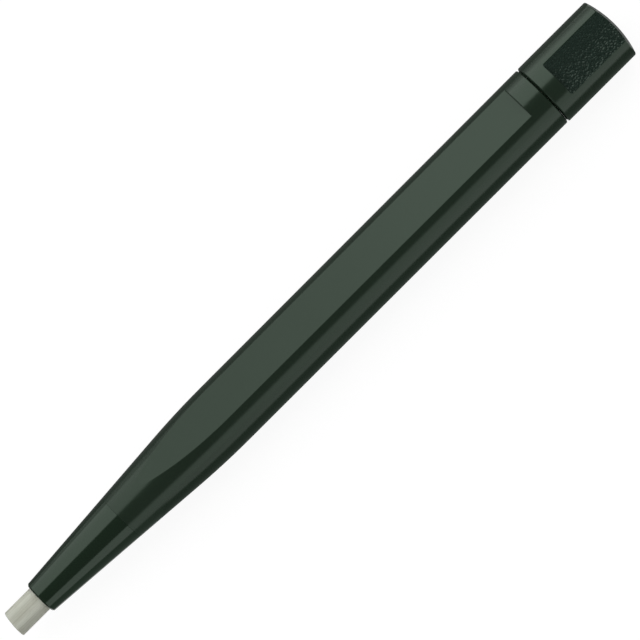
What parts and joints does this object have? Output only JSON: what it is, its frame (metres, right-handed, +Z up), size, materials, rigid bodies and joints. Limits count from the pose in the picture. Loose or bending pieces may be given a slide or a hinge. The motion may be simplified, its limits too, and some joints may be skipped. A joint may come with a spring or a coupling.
{
  "type": "fiberglass eraser",
  "caption": "Slim propelling eraser pen with a bound glass-fibre refill, a tapered nose, a flatted barrel and a twist cap that feeds the refill.",
  "frame": {"origin": "midway along the whole pen, under its axis, on the surface that the pen lies on", "axes": "+X along the pen's axis from the brush to the twist cap, +Z up, out of the barrel's upper flat"},
  "size_m": [0.118, 0.0102, 0.0102],
  "materials": {
    "barrel_plastic": "dark grey-green moulded plastic, satin",
    "nose_plastic": "dark grey-green moulded plastic, smooth",
    "cap_plastic": "dark grey-green moulded plastic, with spark-textured grip faces",
    "white_nylon": "natural white, moulded",
    "steel": "plain, lightly oiled",
    "black_rubber": "matte",
    "brass": "turned",
    "aluminium": "drawn tube",
    "bound_fibre": "glass fibres bound with resin, off-white and opaque",
    "loose_fibre": "fine loose glass fibres, off-white and opaque"
  },
  "bodies": {
    "barrel": {"barrel": "barrel_plastic", "nose_cone": "nose_plastic", "guide_sleeve": "white_nylon", "bearing_bush": "white_nylon"},
    "cap": {"twist_cap": "cap_plastic", "cap_hub": "white_nylon", "lead_screw": "steel", "screw_pin": "steel", "thrust_washer": "steel", "friction_ring": "black_rubber", "retaining_clip": "steel"},
    "feed": {"feed_nut": "brass", "push_tube": "aluminium", "refill_holder": "brass", "refill_ferrule": "brass", "refill_core": "bound_fibre", "fibre_brush": "loose_fibre"}
  },
  "joints": [
    {"name": "cap_twist", "type": "hinge", "parent": "barrel", "child": "cap", "pos_m": [0.045, 0, 0.00508], "axis": [-1, 0, 0], "range_deg": [-270, 990]},
    {"name": "brush_feed", "type": "slide", "parent": "barrel", "child": "feed", "axis": [-1, 0, 0], "range_m": [-0.006, 0.022]}
  ],
  "couplings": [
    {"joint": "cap_twist", "follows": "brush_feed", "rad_per_m": 785.4}
  ]
}
